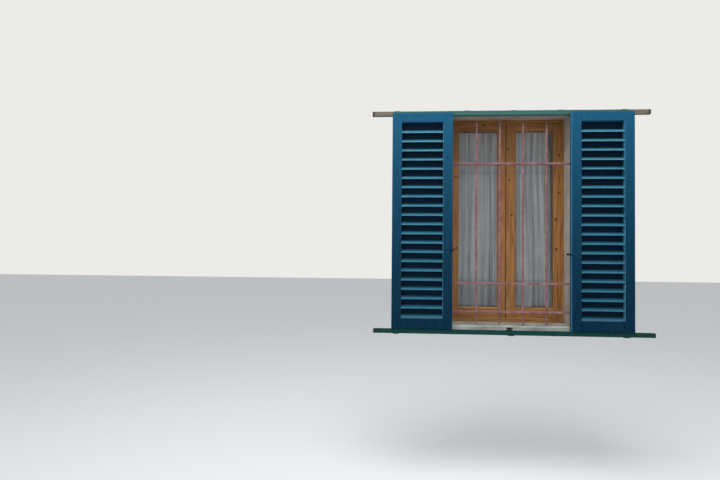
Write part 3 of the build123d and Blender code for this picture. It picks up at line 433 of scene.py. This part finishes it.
def blue_paint(name, top, foot, streak, painted_edge_light):
    """Blue enamel, paler above, with rain streaks and a chip. Stiles and rails get painted
    highlights along the louvre edges and one front arris, and slats get painted shade towards
    their back."""
    finish, tree, shader, place = start_finish(name, 0.5, 0.08)
    x, y, z = add(tree, "SeparateXYZ", {0: place}).outputs
    up = add(tree, "MapRange", {0: z, 1: shutter_low[2], 2: shutter_high[2]}).outputs[0]
    paint = blend_in(tree, maths(tree, "POWER", up, 1.6), foot, top)
    streaks = ramp(tree, noise(tree, place, 14, 3.0, (1, 1, 16)), [(0.4, 0.0), (0.8, 0.16)])
    paint = blend_in(tree, streaks, paint, streak)
    grime = ramp(tree, noise(tree, place, 40, 4.0, (1, 1, 2)), [(0.5, 0.0), (0.8, 0.3)])
    paint = blend_in(tree, grime, paint, "#06202f")
    if painted_edge_light:
        # Painted highlights along the louvre edges, where the stiles' inner faces catch the light,
        # broken up by noise and kept beside the slats.
        highlight_breaks = noise(tree, place, 30, 4.0, (1, 1, 6))
        beside = between(tree, z, slats_low[2], slats_high[2])
        for edge, share in zip(louvre_edges, highlight_shares):
            off = maths(tree, "ABSOLUTE", maths(tree, "SUBTRACT", x, edge))
            near = add(tree, "MapRange", {0: off, 1: highlight_mm / 2000, 2: highlight_mm / 1000,
                                          3: share, 4: 0.0}).outputs[0]
            wear_and_highlight = maths(tree, "MULTIPLY", near, ramp(tree, highlight_breaks, [(0.35, 0.2), (0.6, 1.0)]))
            wear_and_highlight = maths(tree, "MULTIPLY", wear_and_highlight, beside)
            paint = blend_in(tree, wear_and_highlight, paint, "#5b9db6")
        # A painted highlight on the right shutter's inner front arris.
        off = maths(tree, "ABSOLUTE", maths(tree, "SUBTRACT", x, lit_arris_x))
        near = maths(tree, "LESS_THAN", off, highlight_mm / 1000)
        front = maths(tree, "LESS_THAN", y, shutter_low[1] + lit_arris_depth)
        lit_arris = maths(tree, "MULTIPLY", maths(tree, "MULTIPLY", near, front), lit_arris_share)
        paint = blend_in(tree, lit_arris, paint, "#4f8fb0")
    else:
        # Painted shade on the slats: half shade, then deep shade, towards their back.
        half_shade = add(tree, "MapRange", {0: y, 1: slats_low[1] + half_shade_from,
                                       2: slats_low[1] + half_shade_to, 4: half_shade_share}).outputs[0]
        paint = blend_in(tree, half_shade, paint, "#1a4a60")
        behind = add(tree, "MapRange", {0: y, 1: slats_high[1] - shade_from,
                                        2: slats_high[1] - shade_to}).outputs[0]
        paint = blend_in(tree, behind, paint, "#05233a")
    gap = add(tree, "VectorMath", {0: place, 1: chip_at}, operation="DISTANCE").outputs["Value"]
    torn = maths(tree, "MULTIPLY_ADD", noise(tree, place, 5, 4.0), 0.006, gap)
    chip = add(tree, "MapRange", {0: torn, 1: chip_mm / 1000, 2: chip_mm / 1000 + 0.001,
                                  3: 1.0, 4: 0.0}).outputs[0]
    tree.links.new(blend_in(tree, chip, paint, "#b9b4a6"), shader.inputs["Base Color"])
    raise_bump(tree, shader, noise(tree, place, 7, 2.0), 0.1)
    return finish


stile_blue = blue_paint("satin_blue_enamel", "#1e5d7d", "#022b41", "#23607c", True)
# The slats are a lit copy of the blue: paler from sun fading, and painted lighter for the light on
# their upper faces.
slat_blue = blue_paint("faded_and_painted_lit_blue_enamel", "#559fae", "#38738a", "#3b7890", False)
for side in ("left", "right"):
    dress(stile_blue, *[f"{side}_shutter_{piece}" for piece in
                        ("outer_stile", "inner_stile", "top_rail", "foot_rail")])
    dress(slat_blue, f"{side}_shutter_slats")

# The wheels and guides: turned and moulded nylon, white on the axles and black below.
# They are greasy and scratched by the rails.
finish, tree, shader, place = start_finish("turned_white_nylon", 0.5)
tree.links.new(ramp(tree, noise(tree, place, 5), [(0.35, "#a5a196"), (0.7, "#cfcbbf")]),
               shader.inputs["Base Color"])
dress(finish, *[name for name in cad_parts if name.endswith("_wheels")])
finish, tree, shader, place = start_finish("moulded_black_nylon", 0.55)
tree.links.new(ramp(tree, noise(tree, place, 4), [(0.35, "#17181a"), (0.7, "#2b2c2e")]),
               shader.inputs["Base Color"])
dress(finish, "left_shutter_guides", "right_shutter_guides")

# The hook and its keeper: flat bar, cut and drilled, on the faces of the inner stiles.
# The plates were sprayed blue with the shutters; the hook and the keeper's nose are black.
def brushed_black(tree, place):
    """Black paint, brushed on and rubbed to grey in places."""
    return ramp(tree, noise(tree, place, 6, 3.0), [(0.4, "#0c0d0f"), (0.75, "#222426")])


finish, tree, shader, place = start_finish("black_brushed_paint", 0.5, 0.2)
tree.links.new(brushed_black(tree, place), shader.inputs["Base Color"])
dress(finish, "shutter_hook")
dress(stile_blue, "shutter_hook_plate")
finish, tree, shader, place = start_finish("blue_enamel_rubbed_black", 0.5, 0.15)
across = add(tree, "SeparateXYZ", {0: place}).outputs["X"]
nose = maths(tree, "LESS_THAN", across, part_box("right_shutter_inner_stile")[0][0])
tree.links.new(blend_in(tree, nose, "#0b4668", brushed_black(tree, place)),
               shader.inputs["Base Color"])
dress(finish, "shutter_keeper")

# The studio: a pale floor well below the hung window, a big soft lamp overhead like an
# open sky, and a weaker one in front.
floor_z, floor_size, floor_glow = -1.85, 60, 0.24
backdrop_white, sky_tint, sky_strength = "#ecebe8", "#dfe6f0", 0.45
finish, tree, shader, place = start_finish("pale_floor", 0.9, 0.1)
shader.inputs["Base Color"].default_value = colour(backdrop_white)
shader.inputs["Emission Color"].default_value = colour(backdrop_white)
seen = add(tree, "LightPath").outputs["Is Camera Ray"]
tree.links.new(maths(tree, "MULTIPLY", seen, floor_glow), shader.inputs["Emission Strength"])
bpy.ops.object.select_all(action="DESELECT")
bpy.ops.mesh.primitive_plane_add(size=floor_size, location=(0, 0, floor_z))
floor = bpy.context.object
floor.name = "floor"
floor.data.materials.append(finish)

world = bpy.data.worlds.new("open_sky")
bpy.context.scene.world = world
world.use_nodes = True
sky = world.node_tree
sky.nodes.clear()
rays = add(sky, "LightPath").outputs
seen = maths(sky, "MAXIMUM", rays["Is Camera Ray"], rays["Is Glossy Ray"])
seen = maths(sky, "MAXIMUM", seen, rays["Is Transmission Ray"])
lit = add(sky, "Background", {"Color": colour(sky_tint), "Strength": sky_strength})
shown = add(sky, "Background", {"Color": colour(backdrop_white), "Strength": 1.0})
both = add(sky, "MixShader", {0: seen, 1: lit.outputs[0], 2: shown.outputs[0]})
add(sky, "OutputWorld", {"Surface": both.outputs[0]})


def lamp(name, spot, target, size, power, tint):
    """A square soft lamp that looks at a target."""
    light = bpy.data.lights.new(name, "AREA")
    light.size, light.energy, light.color = size, power, colour(tint)[:3]
    holder = bpy.data.objects.new(name, light)
    bpy.context.scene.collection.objects.link(holder)
    holder.location = spot
    holder.rotation_euler = (Vector(target) - Vector(spot)).to_track_quat("-Z", "Y").to_euler()


lamp("overhead", (-0.6, -2.2, 4.2), (0.0, 0.0, 0.0), 3.0, 212.0, "#f4f8ff")
lamp("front", (-2.6, -4.6, 1.4), (0.0, 0.0, 0.0), 2.5, 42.0, "#fff6ea")

# The camera: a wide-angle lens, left of the window and near its sill, looking a little
# left and up, and tilted by half a degree, as it was held.
focal_px, frame_px, sensor_mm = 555.9, 720, 36.0
camera_place = (-0.7795, -4.063, -0.2155)
turn_left, look_up, tilt = 4.06, 1.21, 0.49
lens = bpy.data.cameras.new("camera")
lens.sensor_width = sensor_mm
lens.lens = focal_px / frame_px * sensor_mm
camera = bpy.data.objects.new("camera", lens)
bpy.context.scene.collection.objects.link(camera)
camera.matrix_world = (Matrix.Translation(camera_place)
                       @ Matrix.Rotation(math.radians(turn_left), 4, "Z")
                       @ Matrix.Rotation(math.radians(90 + look_up), 4, "X")
                       @ Matrix.Rotation(math.radians(tilt), 4, "Z"))
bpy.context.scene.camera = camera
